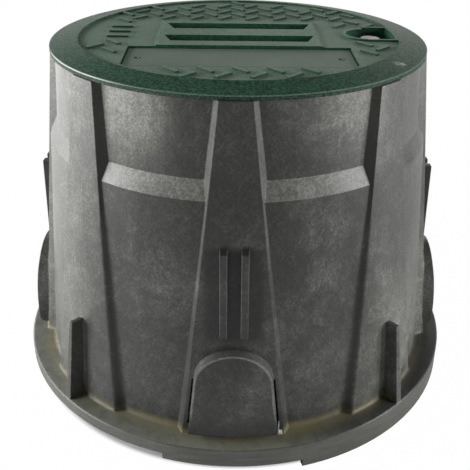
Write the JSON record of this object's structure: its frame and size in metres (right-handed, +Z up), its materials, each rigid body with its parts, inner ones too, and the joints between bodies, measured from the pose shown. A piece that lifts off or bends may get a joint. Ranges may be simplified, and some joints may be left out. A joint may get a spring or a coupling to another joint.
{
  "type": "irrigation valve box",
  "caption": "Round tapered ground box with corrugated walls, a stepped foot flange, pipe knock-outs and a bolt-down lid with finger slots.",
  "frame": {"origin": "on the ground under the middle of the box", "axes": "+Z up, the side with the marker plate faces -Y, the lock bolt is at +X"},
  "size_m": [0.35, 0.35, 0.2648],
  "materials": {
    "body_plastic": "matte moulded polyethylene with pale flow marks",
    "lid_plastic": "satin moulded polyethylene",
    "plate_plastic": "satin moulded polyethylene",
    "bolt_steel": "stainless steel, dull",
    "clip_steel": "zinc plated spring steel"
  },
  "bodies": {
    "box": {"box_body": "body_plastic", "clip_nut": "clip_steel"},
    "cover": {"lid": "lid_plastic", "marker_plate": "plate_plastic", "bolt_washer": "bolt_steel"},
    "bolt": {"lock_bolt": "bolt_steel"}
  },
  "joints": [
    {"name": "lid_lift", "type": "slide", "parent": "box", "child": "cover", "axis": [0, 0, 1], "range_m": [0, 0.12]},
    {"name": "bolt_turn", "type": "hinge", "parent": "cover", "child": "bolt", "pos_m": [0.09891, 0.00502, 0.2555], "axis": [0, 0, 1], "continuous": true}
  ]
}
